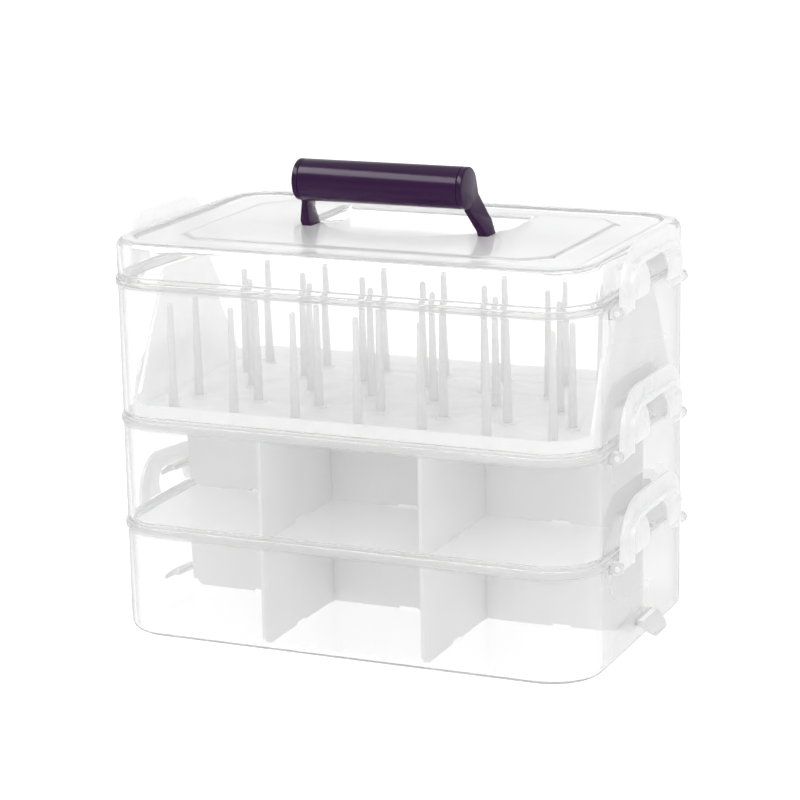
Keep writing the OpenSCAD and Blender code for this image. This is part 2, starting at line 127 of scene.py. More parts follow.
def clearPolypropylene(name, satinFrom=None):
    # clarified polypropylene, injection moulded in a polished tool: clear face on, milkier edge on
    # and in thick rims; what it scatters has painted shade, grey on upright and curved faces, and painted
    # light, near white on flat floors; flat faces above satinFrom (metres) are satin
    mat, tree = newMaterial(name)
    rough = unevenness(tree, 30.0, 0.015, 0.04)
    place = addNode(tree, "ShaderNodeTexCoord")
    split = addNode(tree, "ShaderNodeSeparateXYZ", None, {"Vector": (place, "Object")})
    thick = thickPlaces(tree, split)
    facing = addNode(tree, "ShaderNodeSeparateXYZ", None, {"Vector": (place, "Normal")})
    level = addNode(tree, "ShaderNodeMath", {"operation": "ABSOLUTE"}, {"0": (facing, "Z")})
    flat = addNode(tree, "ShaderNodeMapRange",
                   {"interpolation_type": "SMOOTHSTEP", "in:From Min": 0.93, "in:From Max": 0.99},
                   {"Value": (level, 0)})
    if satinFrom is not None:
        satin = addNode(tree, "ShaderNodeMapRange",
                        {"in:From Min": satinFrom, "in:From Max": satinFrom + 0.0006,
                         "in:To Min": 0.0, "in:To Max": plastic["satinRoughness"]}, {"Value": (split, "Z")})
        rough = addNode(tree, "ShaderNodeMath", {"operation": "MULTIPLY_ADD"},
                        {"0": (satin, "Result"), "1": (flat, "Result"), "2": (rough, "Result")})
    bump = mouldBump(tree, 18.0, 0.012, 0.001)
    glass = addNode(tree, "ShaderNodeBsdfPrincipled",
                    {"in:Base Color": hexColour("#fdfdfd"), "in:IOR": 1.49, "in:Transmission Weight": 1.0},
                    {"Roughness": (rough, 0), "Normal": (bump, "Normal")})
    # what the plastic scatters is painted by facing: grey painted shade on upright and curved faces, lighter
    # in thick places, near white painted light on flat floors
    paler = addNode(tree, "ShaderNodeMix",
                    {"data_type": "RGBA", "in:6": hexColour(plastic["wallHazePaintedShade"]),
                     "in:7": hexColour(plastic["hazeThick"])},
                    {"0": (thick, 0)})
    # flat floors take the near white painted light in place of the walls' painted shade
    colour = addNode(tree, "ShaderNodeMix", {"data_type": "RGBA", "in:7": hexColour(plastic["floorHazePaintedLit"])},
                     {"0": (flat, "Result"), "6": (paler, "Result")})
    front = addNode(tree, "ShaderNodeBsdfDiffuse", None, {"Color": (colour, "Result")})
    back = addNode(tree, "ShaderNodeBsdfTranslucent", None, {"Color": (colour, "Result")})
    hazeWithPaintedShade = addNode(tree, "ShaderNodeMixShader", {"in:0": 0.5}, {"1": (front, "BSDF"), "2": (back, "BSDF")})
    # edge on, more of the painted grey shows, so edges carry painted shade as well as real milkiness
    slant = addNode(tree, "ShaderNodeLayerWeight", {"in:Blend": 0.5})
    edge = addNode(tree, "ShaderNodeMapRange",
                   {"interpolation_type": "SMOOTHSTEP", "in:From Min": 0.35, "in:From Max": 1.0,
                    "in:To Min": plastic["faceOn"], "in:To Max": plastic["edgeOn"]},
                   {"Value": (slant, "Facing")})
    flatShare = plastic["floors"] if satinFrom is None else plastic["satinShare"]
    share = addNode(tree, "ShaderNodeMix", {"data_type": "FLOAT", "in:3": flatShare},
                    {"0": (flat, "Result"), "2": (edge, "Result")})
    cloud = unevenness(tree, 14.0, plastic["thick"] * 0.9, plastic["thick"] * 1.1)
    milk = addNode(tree, "ShaderNodeMath", {"operation": "MULTIPLY_ADD", "use_clamp": True},
                   {"0": (thick, 0), "1": (cloud, 0), "2": (share, "Result")})
    mix = addNode(tree, "ShaderNodeMixShader", None,
                  {"0": (milk, 0), "1": (glass, "BSDF"), "2": (hazeWithPaintedShade, "Shader")})
    letLightThrough(tree, mix, "#fcfcfc")
    return mat


def milkyPolypropylene(name, body, clearShare, roughness):
    # natural polypropylene: the same plastic left unclarified, so it scatters light and looks milky
    mat, tree = newMaterial(name)
    rough = unevenness(tree, 45.0, roughness * 0.8, roughness * 1.3)
    bump = mouldBump(tree, 260.0, 0.06, 0.0003)
    skin = addNode(tree, "ShaderNodeBsdfPrincipled",
                   {"in:Base Color": hexColour(body), "in:IOR": 1.49},
                   {"Roughness": (rough, "Result"), "Normal": (bump, "Normal")})
    glow = addNode(tree, "ShaderNodeBsdfTranslucent", {"in:Color": hexColour(body)},
                   {"Normal": (bump, "Normal")})
    milk = addNode(tree, "ShaderNodeMixShader", {"in:0": 0.4}, {"1": (skin, "BSDF"), "2": (glow, "BSDF")})
    through = addNode(tree, "ShaderNodeBsdfTransparent", {"in:Color": hexColour("#fafafa")})
    share = unevenness(tree, 60.0, clearShare * 0.9, clearShare * 1.1)
    mix = addNode(tree, "ShaderNodeMixShader", None,
                  {"0": (share, "Result"), "1": (milk, "Shader"), "2": (through, "BSDF")})
    addNode(tree, "ShaderNodeOutputMaterial", None, {"Surface": (mix, "Shader")})
    return mat


def frostedSheet():
    # extruded polypropylene sheet with a satin face: greyer than the moulded parts, with a fine grain
    mat, tree = newMaterial("frosted polypropylene sheet")
    rough = unevenness(tree, 90.0, 0.42, 0.58)
    bump = mouldBump(tree, 350.0, 0.03, 0.0002)
    shade = unevenness(tree, 18.0, 0.0, 1.0)
    colour = addNode(tree, "ShaderNodeMix",
                     {"data_type": "RGBA", "in:6": hexColour(plastic["sheetLow"]),
                      "in:7": hexColour(plastic["sheetHigh"])},
                     {"0": (shade, "Result")})
    skin = addNode(tree, "ShaderNodeBsdfPrincipled", {"in:IOR": 1.49},
                   {"Base Color": (colour, "Result"), "Roughness": (rough, "Result"),
                    "Normal": (bump, "Normal")})
    glow = addNode(tree, "ShaderNodeBsdfTranslucent", None, {"Color": (colour, "Result")})
    milk = addNode(tree, "ShaderNodeMixShader", {"in:0": 0.4}, {"1": (skin, "BSDF"), "2": (glow, "BSDF")})
    through = addNode(tree, "ShaderNodeBsdfTransparent", {"in:Color": hexColour("#f7f7f7")})
    share = unevenness(tree, 25.0, 0.08, 0.14)
    mix = addNode(tree, "ShaderNodeMixShader", None,
                  {"0": (share, "Result"), "1": (milk, "Shader"), "2": (through, "BSDF")})
    addNode(tree, "ShaderNodeOutputMaterial", None, {"Surface": (mix, "Shader")})
    return mat


def aubergineAbs():
    # coloured ABS from a polished mould: deep aubergine with a clear gloss and a little orange peel
    mat, tree = newMaterial("aubergine ABS, glossy")
    shade = unevenness(tree, 35.0, 0.0, 1.0)
    colour = addNode(tree, "ShaderNodeMix",
                     {"data_type": "RGBA", "in:6": hexColour("#2a0d33"), "in:7": hexColour("#300f3a")},
                     {"0": (shade, "Result")})
    rough = unevenness(tree, 120.0, 0.16, 0.22)
    bump = mouldBump(tree, 420.0, 0.04, 0.0003)
    skin = addNode(tree, "ShaderNodeBsdfPrincipled", {"in:IOR": 1.5, "in:Specular IOR Level": 0.14},
                   {"Base Color": (colour, "Result"), "Roughness": (rough, "Result"),
                    "Normal": (bump, "Normal")})
    addNode(tree, "ShaderNodeOutputMaterial", None, {"Surface": (skin, "BSDF")})
    return mat


def studioPaper():
    # a lit white light table: matt paper that also glows, so the shadows on it stay faint
    mat, tree = newMaterial("white light table")
    grain = unevenness(tree, 3.0, studio["paperGlow"] * 0.985, studio["paperGlow"])
    skin = addNode(tree, "ShaderNodeBsdfPrincipled",
                   {"in:Base Color": hexColour(studio["paper"]), "in:Roughness": 0.6,
                    "in:Specular IOR Level": 0.1, "in:Emission Color": hexColour("#ffffff")},
                   {"Emission Strength": (grain, "Result")})
    addNode(tree, "ShaderNodeOutputMaterial", None, {"Surface": (skin, "BSDF")})
    return mat


plastic = {
    "wallHazePaintedShade": "#c0c0c0",    # grey painted shade in what the clear plastic scatters, in upright and curved faces
    "hazeThick": "#dcdcdc",    # in thick places
    "floorHazePaintedLit": "#f4f4f4",   # and in flat floors, painted near white as painted light
    "faceOn": 0.02,            # scattered share where a wall is seen face on
    "edgeOn": 0.7,             # and where it is seen along its surface, which darkens edges with the painted grey
    "floors": 0.1,
    "thick": 0.4,              # added in the thick rims, lugs and ledges
    "satinShare": 0.3,         # scattered share of the lid's satin face
    "satinRoughness": 0.05,
    "sheetLow": "#eaeaea",
    "sheetHigh": "#f0f0f0",
}
studio = {
    "floorHalf": 14.0,
    "paper": "#8c8c8c",
    "paperGlow": 1.0,
    "worldStrength": 0.88,
    "keyPower": 4.0,
    "topPower": 3.0,
    "windowPower": 33.0,
}

clearPlastic = clearPolypropylene("clear polypropylene, polished mould")
lidPlastic = clearPolypropylene("clear polypropylene, satin top face", 0.176)
latchPlastic = milkyPolypropylene("natural polypropylene latches", "#fafafa", 0.42, 0.22)
trayPlastic = milkyPolypropylene("natural polypropylene tray", "#fcfcfc", 0.34, 0.18)
pinPlastic = milkyPolypropylene("natural polypropylene pins", "#eeeeee", 0.36, 0.25)
dividerPlastic = frostedSheet()
handlePlastic = aubergineAbs()
print("stage: materials made")


# Shared mesh helpers, in millimetres until the mesh is written

stack = {
    "width": 234.0,
    "depth": 150.0,
    "cornerRadius": 25.0,
    "wall": 1.8,
    "rimOut": 1.0,      # how far the rim's band stands out of the wall
    "rimHeight": 3.0,
    "footHeight": 3.0,
    "footOut": 3.1,     # outer and inner face of a foot, inside the rim's outer face
    "footIn": 4.9,
    "baseRadius": 4.0,
    "cornerSteps": 14,
    "sideSteps": 8,
}


def arcPoints(cx, cy, radius, start, end, steps=5):
    turns = [math.radians(start + (end - start) * i / steps) for i in range(steps + 1)]
    return [(cx + radius * math.cos(turn), cy + radius * math.sin(turn)) for turn in turns]


def stackLoop():
    # points on the rim's outer face, anticlockwise, each with its outward direction
    r = stack["cornerRadius"]
    halfW, halfD = stack["width"] / 2 - r, stack["depth"] / 2 - r
    corners = [(halfW, halfD, 0), (-halfW, halfD, 90), (-halfW, -halfD, 180), (halfW, -halfD, 270)]
    loop = []
    for k, (cx, cy, start) in enumerate(corners):
        steps = stack["cornerSteps"]
        for i in range(steps + 1):
            a = math.radians(start + 90 * i / steps)
            n = (math.cos(a), math.sin(a))
            loop.append((cx + r * n[0], cy + r * n[1], n[0], n[1]))
        nextX, nextY, nextStart = corners[(k + 1) % 4]
        a = math.radians(nextStart)
        n = (math.cos(a), math.sin(a))
        x0, y0 = loop[-1][:2]
        x1, y1 = nextX + r * n[0], nextY + r * n[1]
        for i in range(1, stack["sideSteps"]):
            t = i / stack["sideSteps"]
            loop.append((x0 + (x1 - x0) * t, y0 + (y1 - y0) * t, n[0], n[1]))
    return loop


def sweepRings(bm, loop, profile, baseZ):
    # one ring of vertices for each profile point (offset outward, height)
    return [[bm.verts.new((x + nx * u, y + ny * u, baseZ + z)) for x, y, nx, ny in loop] for u, z in profile]


def bridgeRings(bm, rings):
    count = len(rings[0])
    for lower, upper in zip(rings, rings[1:]):
        for i in range(count):
            j = (i + 1) % count
            bm.faces.new((lower[i], lower[j], upper[j], upper[i]))


def rimProfile(h):
    # outer side up to the rim and a little way down its inner side
    rimOut, wall, band = stack["rimOut"], stack["wall"], stack["rimHeight"]
    inner = -rimOut - wall
    return ([(-rimOut, h - band - 0.45), (-rimOut + 0.12, h - band - 0.13), (-rimOut + 0.4, h - band)]
            + arcPoints(-0.5, h - band + 0.5, 0.5, -80, 0, 4)
            + arcPoints(-0.5, h - 0.5, 0.5, 0, 90, 4)
            + arcPoints(inner + 0.5, h - 0.5, 0.5, 90, 180, 4))


def plainTubProfile(h):
    base, wall, rimOut = stack["baseRadius"], stack["wall"], stack["rimOut"]
    c = -rimOut - base
    return ([(c - 2, 0)] + arcPoints(c, base, base, -90, 0, 8) + [(-rimOut, h * 0.5)] + rimProfile(h)
            + [(-rimOut - wall, h * 0.5)] + arcPoints(c, base, base - wall, 0, -90, 6) + [(c - 2, wall)])


def footOuterProfile():
    out, foot, rimOut = stack["footOut"], stack["footHeight"], stack["rimOut"]
    return (arcPoints(-out - 0.8, -foot + 0.8, 0.8, -90, 0, 4) + [(-out, -0.25), (-out + 0.25, 0)]
            + arcPoints(-rimOut - 0.4, 0.4, 0.4, -90, 0, 3))


def footedTubProfile(h):
    out, inn, foot, wall, rimOut = (stack[k] for k in ("footOut", "footIn", "footHeight", "wall", "rimOut"))
    floorTop = wall - foot
    return ([(-inn - 3, -foot)] + footOuterProfile() + [(-rimOut, h * 0.5)] + rimProfile(h)
            + [(-rimOut - wall, h * 0.5)]
            + arcPoints(-rimOut - wall - 0.8, wall + 0.8, 0.8, 0, -90, 3)
            + arcPoints(-inn + 0.7, wall - 0.7, 0.7, 90, 180, 3)
            + arcPoints(-inn - 0.9, floorTop + 0.9, 0.9, 0, -90, 4)
            + [(-inn - 3, floorTop)])


def toObject(bm, name, material, smoothAngle=35.0):
    bmesh.ops.remove_doubles(bm, verts=bm.verts, dist=1e-5)
    bmesh.ops.recalc_face_normals(bm, faces=bm.faces)
    bmesh.ops.scale(bm, vec=(mm, mm, mm), verts=bm.verts)
    mesh = bpy.data.meshes.new(name)
    bm.to_mesh(mesh)
    bm.free()
    return meshObject(mesh, name, material, smoothAngle)


def meshObject(mesh, name, material, smoothAngle=35.0):
    obj = bpy.data.objects.new(name, mesh)
    bpy.context.scene.collection.objects.link(obj)
    finishMesh(obj, material, smoothAngle)
    return obj


def finishMesh(obj, material, smoothAngle):
    mesh = obj.data
    mesh.materials.clear()
    mesh.materials.append(material)
    mesh.polygons.foreach_set("material_index", [0] * len(mesh.polygons))
    mesh.shade_smooth()
    mesh.set_sharp_from_angle(angle=math.radians(smoothAngle))


def bakeModifiers(obj):
    # the evaluated object as a plain mesh, in place of the live modifiers
    graph = bpy.context.evaluated_depsgraph_get()
    mesh = bpy.data.meshes.new_from_object(obj.evaluated_get(graph))
    obj.modifiers.clear()
    old = obj.data
    obj.data = mesh
    bpy.data.meshes.remove(old)
    mesh.name = obj.name
    return obj


def booleanWith(obj, others, operation):
    for other in others:
        cut = obj.modifiers.new("join", "BOOLEAN")
        cut.operation = operation
        cut.solver = "EXACT"
        cut.object = other
    bakeModifiers(obj)
    for other in others:
        data = other.data
        bpy.data.objects.remove(other)
        bpy.data.meshes.remove(data)
    return obj


def prism(points, along, low, high, round_=0.0):
    # closed prism from a section, which is (y, z) along "x", (x, z) along "y" and (x, y) along "z"
    bm = bmesh.new()
    ends = []
    for level in (low, high):
        ring = []
        for a, b in points:
            ring.append(bm.verts.new({"x": (level, a, b), "y": (a, level, b), "z": (a, b, level)}[along]))
        ends.append(ring)
    count = len(points)
    for i in range(count):
        j = (i + 1) % count
        bm.faces.new((ends[0][i], ends[0][j], ends[1][j], ends[1][i]))
    bm.faces.new(ends[0])
    bm.faces.new(list(reversed(ends[1])))
    bmesh.ops.recalc_face_normals(bm, faces=bm.faces)
    if round_ > 0:
        sharp = [e for e in bm.edges if e.calc_face_angle(0) > math.radians(35)]
        bmesh.ops.bevel(bm, geom=sharp, offset=round_, segments=3, profile=0.5, affect="EDGES",
                        clamp_overlap=True)
    return toObject(bm, "part", clearPlastic)


# The three boxes

ledge = {
    "halfWidth": 10.0,
    "corner": 4.0,
    "out": 9.5,          # reach past the wall
    "top": 12.65,
    "fall": 1.01,        # the ramp's drop for each millimetre outwards
    "lip": 1.6,
    "thickness": 2.4,
    "hingeX": 119.9,     # where the ramp begins
    "under": -1.5,
}
lug = {
    "y": 41.3,
    "thickness": 3.0,
    "radius": 2.8,
    "hole": 1.3,
    "axisX": 119.9,
    "drop": 5.0,         # from the rim's top to the hinge line
}
weld = 0.6               # how far lugs and ledges reach into the wall
tubs = {
    "bottom_box": {"seat": 0.0, "height": 52.0, "body": "bottom"},
    "middle_box": {"seat": 52.0, "height": 50.0, "body": "middle"},
    "top_box": {"seat": 102.0, "height": 64.0, "body": "top"},
}


def ledgePieces(seat):
    e = ledge
    wallX = stack["width"] / 2 - stack["rimOut"]
    root, tip, hinge = wallX - weld, wallX + e["out"], e["hingeX"]
    top = seat + e["top"]
    tipTop = top - e["fall"] * (tip - hinge)
    section = [(root, top), (hinge, top), (tip, tipTop), (tip, tipTop - e["lip"]),
               (hinge + e["under"], top - e["thickness"]), (root, top - e["thickness"])]
    half, r = e["halfWidth"], e["corner"]
    plan = ([(root - 1, -half)] + arcPoints(tip - r, r - half, r, -90, 0, 6)
            + arcPoints(tip - r, half - r, r, 0, 90, 6) + [(root - 1, half)])
    made = []
    for s in (1, -1):
        piece = prism([(s * x, z) for x, z in section], "y", -half - 1, half + 1, 0.25)
        outline = prism([(s * x, y) for x, y in plan], "z", seat, top + 1)
        made.append(booleanWith(piece, [outline], "INTERSECT"))
    return made


def lugPieces(rimZ):
    wallX = stack["width"] / 2 - stack["rimOut"]
    z = rimZ - lug["drop"]
    r, holeR = lug["radius"], lug["hole"]
    made = []
    for s in (1, -1):
        for t in (1, -1):
            outer = [(wallX - weld, z - r), (lug["axisX"], z - r)]
            outer += arcPoints(lug["axisX"], z, r, -75, 75, 10)
            outer += [(lug["axisX"], z + r), (wallX - weld, z + r)]
            low, high = sorted((t * lug["y"], t * (lug["y"] + lug["thickness"])))
            block = prism([(s * x, zz) for x, zz in outer], "y", low, high, 0.2)
            bore = prism([(s * x, zz) for x, zz in arcPoints(lug["axisX"], z, holeR, 0, 345, 23)],
                         "y", low - 1, high + 1)
            made.append(booleanWith(block, [bore], "DIFFERENCE"))
    return made


def makeTub(name, sizes):
    h, seat = sizes["height"], sizes["seat"]
    profile = plainTubProfile(h) if seat == 0 else footedTubProfile(h)
    bm = bmesh.new()
    rings = sweepRings(bm, stackLoop(), profile, seat)
    bridgeRings(bm, rings)
    bm.faces.new(list(reversed(rings[0])))
    bm.faces.new(rings[-1])
    tub = toObject(bm, name + "_shell", clearPlastic)
    booleanWith(tub, ledgePieces(seat) + lugPieces(seat + h), "UNION")
    finishMesh(tub, clearPlastic, 35.0)
    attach(tub, sizes["body"])
    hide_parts(name)
    return tub


for tubName, tubSizes in tubs.items():
    makeTub(tubName, tubSizes)
print("stage: boxes made")


# The lid: a swept skirt and bead round a top that is one smooth height field

lidShape = {
    "seat": 166.0,
    "height": 18.0,
    "edgeRadius": 4.0,
    "beadWidth": 4.0,
    "bandDrop": 1.4,
    "fieldInset": 13.0,
    "panelHalfX": 90.0,
    "panelHalfY": 51.5,
    "panelCut": 11.0,
    "panelRise": 1.0,
    "basinHalfX": 48.5,
    "basinRear": 47.0,
    "basinFront": 20.0,
    "basinArcY": 8.0,
    "basinDepth": 5.6,
    "cellsX": 170,
    "cellsY": 104,
}


def smoothStep(value):
    t = min(1.0, max(0.0, value))
    return t * t * (3 - 2 * t)


def basinInside(x, y):
    # distance from the basin's edge, positive inside
    s = lidShape
    half = s["basinHalfX"]
    if y >= s["basinArcY"]:
        return min(half - abs(x), s["basinRear"] - y, y - s["basinArcY"] + 30.0)
    arcHalf, rise = half - 5.0, s["basinArcY"] + s["basinFront"]
    radius = (arcHalf ** 2 + rise ** 2) / (2 * rise)
    return min(radius - math.hypot(x, y - radius + s["basinFront"]), half - abs(x))


def lidHeight(x, y):
    s = lidShape
    cut = s["panelHalfX"] + s["panelHalfY"] - s["panelCut"]
    inPanel = min(s["panelHalfX"] - abs(x), s["panelHalfY"] - abs(y), (cut - abs(x) - abs(y)) / math.sqrt(2))
    z = s["height"] - s["bandDrop"] + s["panelRise"] * smoothStep(inPanel / 1.8 + 0.5)
    return z - s["basinDepth"] * smoothStep(basinInside(x, y) / 3.0)


def roundedCell(a, b, halfX, halfY, r):
    # maps a rectangle's grid onto a rounded rectangle, corner squares onto quarter discs
    overX, overY = abs(a) - (halfX - r), abs(b) - (halfY - r)
    if overX <= 0 or overY <= 0:
        return a, b
    u, v = overX / r, overY / r
    x = halfX - r + r * u * math.sqrt(1 - v * v / 2)
    y = halfY - r + r * v * math.sqrt(1 - u * u / 2)
    return math.copysign(x, a), math.copysign(y, b)


def gridSteps(half, r, cells):
    # even steps, with a line exactly where each corner begins
    inner = max(4, cells - 16)
    line = [-half + r * i / 8 for i in range(8)]
    line += [-(half - r) + 2 * (half - r) * i / inner for i in range(inner)]
    return line + [half - r + r * i / 8 for i in range(9)]


def makeLid():
    s = lidShape
    inset = s["fieldInset"]
    halfX, halfY = stack["width"] / 2 - inset, stack["depth"] / 2 - inset
    r = stack["cornerRadius"] - inset
    xs, ys = gridSteps(halfX, r, s["cellsX"]), gridSteps(halfY, r, s["cellsY"])
    bm = bmesh.new()
    sheets = []
    for drop in (0.0, stack["wall"]):
        sheet = []
        for b in ys:
            row = []
            for a in xs:
                x, y = roundedCell(a, b, halfX, halfY, r)
                row.append(bm.verts.new((x, y, s["seat"] + lidHeight(x, y) - drop)))
            sheet.append(row)
        for j in range(len(ys) - 1):
            for i in range(len(xs) - 1):
                quad = (sheet[j][i], sheet[j][i + 1], sheet[j + 1][i + 1], sheet[j + 1][i])
                bm.faces.new(quad if drop == 0 else quad[::-1])
        sheets.append(sheet)

    def edgeOf(sheet):
        return (sheet[0][:-1] + [row[-1] for row in sheet[:-1]] + sheet[-1][:0:-1]
                + [row[0] for row in sheet[:0:-1]])

    topEdge, lowEdge = edgeOf(sheets[0]), edgeOf(sheets[1])
    loop = []
    for v in topEdge:
        cx = math.copysign(max(abs(v.co.x) - (halfX - r), 0.0), v.co.x)
        cy = math.copysign(max(abs(v.co.y) - (halfY - r), 0.0), v.co.y)
        n = Vector((cx, cy)).normalized()
        loop.append((v.co.x + n.x * inset, v.co.y + n.y * inset, n.x, n.y))
    rimOut, wall, out, inn, foot = (stack[k] for k in ("rimOut", "wall", "footOut", "footIn", "footHeight"))
    c, top = -rimOut - s["edgeRadius"], s["height"]
    bead = c - s["beadWidth"]
    band = top - s["bandDrop"]
    profile = ([(bead - 1.9, band - wall), (bead - 1.2, band - wall + 0.35), (bead - 0.4, top - wall - 0.1),
                (bead + 0.5, top - wall)]
               + arcPoints(c, top - s["edgeRadius"], s["edgeRadius"] - wall, 90, 0, 5)
               + arcPoints(-rimOut - wall - 0.8, wall + 0.8, 0.8, 0, -90, 3)
               + arcPoints(-inn + 0.5, wall - 0.5, 0.5, 90, 180, 3)
               + arcPoints(-inn + 0.5, -foot + 0.5, 0.5, 180, 270, 3)
               + footOuterProfile()[1:]
               + arcPoints(c, top - s["edgeRadius"], s["edgeRadius"], 0, 90, 7)
               + [(bead + 0.6, top), (bead - 0.1, top - 0.2), (bead - 1.3, band + 0.2), (bead - 2.1, band)])
    rings = sweepRings(bm, loop, profile, s["seat"])
    bridgeRings(bm, [lowEdge] + rings + [topEdge])
    lid = toObject(bm, "lid_shell", clearPlastic)
    booleanWith(lid, ledgePieces(s["seat"]), "UNION")
    return lid


lidPiece = makeLid()

pocket = {
    "x": 43.5,
    "half": 2.8,
    "wall": 2.4,
    "front": -8.23,
    "rear": 15.5,
    "floor": 7.8,
    "blockTop": 11.2,    # the pocket's walls reach into the lid's top
    "ridgeLow": 10.2,    # ridges beside the pocket carry the bore for the arm's stud
    "ridgeTop": 16.2,
    "ridgeRear": 9.0,
    "pivotY": 0.5,
    "pivotZ": 12.8,
    "bore": 1.65,
}


def boxPrism(x0, x1, y0, y1, z0, z1, round_=0.0):
    return prism([(x0, z0), (x1, z0), (x1, z1), (x0, z1)], "y", y0, y1, round_)


def cutPockets(lid):
    p, seat = pocket, lidShape["seat"]
    blocks, cuts, bores = [], [], []
    for s in (1, -1):
        x0, x1 = sorted((s * (p["x"] - p["half"]), s * (p["x"] + p["half"])))
        w = p["wall"]
        blocks.append(boxPrism(x0 - w, x1 + w, p["front"] - w, p["rear"] + w,
                               seat + p["floor"] - stack["wall"], seat + p["blockTop"], 0.6))
        blocks.append(boxPrism(x0 - w, x1 + w, p["front"] - w, p["pivotY"] + 1.0,
                               seat + p["ridgeLow"], seat + p["ridgeTop"]))
        outer = sorted((s * (p["x"] + p["half"]), s * (p["x"] + p["half"] + w)))
        blocks.append(boxPrism(outer[0], outer[1], p["pivotY"], p["ridgeRear"],
                               seat + p["ridgeLow"], seat + p["ridgeTop"]))
        cuts.append(boxPrism(x0, x1, p["front"], p["rear"], seat + p["floor"], seat + 30.0))
        ring = arcPoints(p["pivotY"], seat + p["pivotZ"], p["bore"], 0, 345, 23)
        bores.append(prism(ring, "x", x0 - w - 1, x1 + w + 1))
    booleanWith(lid, blocks, "UNION")
    booleanWith(lid, cuts + bores, "DIFFERENCE")


cutPockets(lidPiece)
finishMesh(lidPiece, lidPlastic, 35.0)
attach(lidPiece, "lid")
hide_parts("lid")
print("stage: lid made")


# Moulded parts that keep their CAD shape and get the small radii a mould leaves

mould = {
    "latchRadius": 0.35,
    "trayRadius": 0.4,
    "gripRadius": 0.25,
    "segments": 3,
    "sharpAngle": 38.0,   # edges that turn more than this are rounded
}


def softened(nodeName, newName, radius, material, body):
    bm = bmesh.new()
    bm.from_mesh(nodes[nodeName].data)
    bmesh.ops.remove_doubles(bm, verts=bm.verts, dist=2e-6)
    bmesh.ops.dissolve_limit(bm, angle_limit=math.radians(0.6), verts=bm.verts, edges=bm.edges)
    bmesh.ops.recalc_face_normals(bm, faces=bm.faces)
    mesh = bpy.data.meshes.new(newName)
    bm.to_mesh(mesh)
    bm.free()
    obj = bpy.data.objects.new(newName, mesh)
    bpy.context.scene.collection.objects.link(obj)
    edge = obj.modifiers.new("mould radius", "BEVEL")
    edge.width = radius * mm
    edge.segments = mould["segments"]
    edge.limit_method = "ANGLE"
    edge.angle_limit = math.radians(mould["sharpAngle"])
    edge.use_clamp_overlap = True
    edge.miter_outer = "MITER_ARC"
    bakeModifiers(obj)
    finishMesh(obj, material, 40.0)
    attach(obj, body)
    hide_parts(nodeName)
    return obj


for level in ("bottom", "middle", "top"):
    for side in ("left", "right"):
        latchName = f"latch_{level}_{side}"
        softened(latchName, latchName + "_moulded", mould["latchRadius"], latchPlastic,
                 latchName)
softened("spool_tray", "spool_tray_moulded", mould["trayRadius"], trayPlastic, "tray")
softened("handle_grip", "handle_grip_moulded", mould["gripRadius"], handlePlastic,
         "handle")
print("stage: latches, tray and grip made")


# Handle arms: a disc that runs on into a leg, straight in the lid's pocket and splayed inwards above it

arm = {
    "pivotY": 0.5,
    "pivotZ": 178.8,
    "lean": 32.7,          # degrees forward at rest
    "reach": 33.3,         # from the pivot to the grip's axis
    "discRadius": 9.5,
    "discIn": 38.6,
    "discOut": 41.4,
    "discTo": 236.0,       # angle at which the disc's front edge turns into the leg
    "neck": 23.8,          # height of the disc's lower edge
    "splayFrom": 11.5,     # height at which the leg is clear of the pocket, also when it is folded
    "kneeFrom": 13.0,      # the rear edge runs straight up to here, then to the disc
    "legIn": 41.2,
    "legOut": 45.8,
    "legFront": -4.7,
    "legRear": 4.6,
    "bossRadius": 4.5,
    "studRadius": 1.5,
    "studReach": 5.0,      # past the leg's middle on both sides
    "edge": 0.6,
}


def armOutline():
    # closed outline in (y, height), in stretches that meet at the neck and where the pocket begins
    a = arm
    r, top = a["discRadius"], a["reach"]
    knee = (a["legRear"], a["kneeFrom"])
    # the rear edge leaves the disc on its tangent
    opening = math.acos(r / math.hypot(knee[0], top - knee[1]))
    rearAngle = math.degrees(opening - math.atan2(top - knee[1], knee[0]))
    disc = arcPoints(0, top, r, rearAngle, a["discTo"], 44)

    def onLine(p, q, z):
        t = (z - p[1]) / (q[1] - p[1])
        return (p[0] + (q[0] - p[0]) * t, z)

    rearNeck = onLine(disc[0], knee, a["neck"])
    frontNeck = onLine(disc[-1], (a["legFront"], a["splayFrom"]), a["neck"])
    boss = arcPoints(0, 0, a["bossRadius"], 180, 360, 16)
    front = [frontNeck, (a["legFront"], a["splayFrom"])]
    rear = [(a["legRear"], a["splayFrom"]), knee, rearNeck]
    return disc, front, boss, rear


def armSkinX(face, z):
    # straight in the pocket, then slanting inwards to the disc's plane at the neck
    a = arm
    t = min(1.0, max(0.0, (z - a["splayFrom"]) / (a["neck"] - a["splayFrom"])))
    return a["leg" + face] + (a["disc" + face] - a["leg" + face]) * t


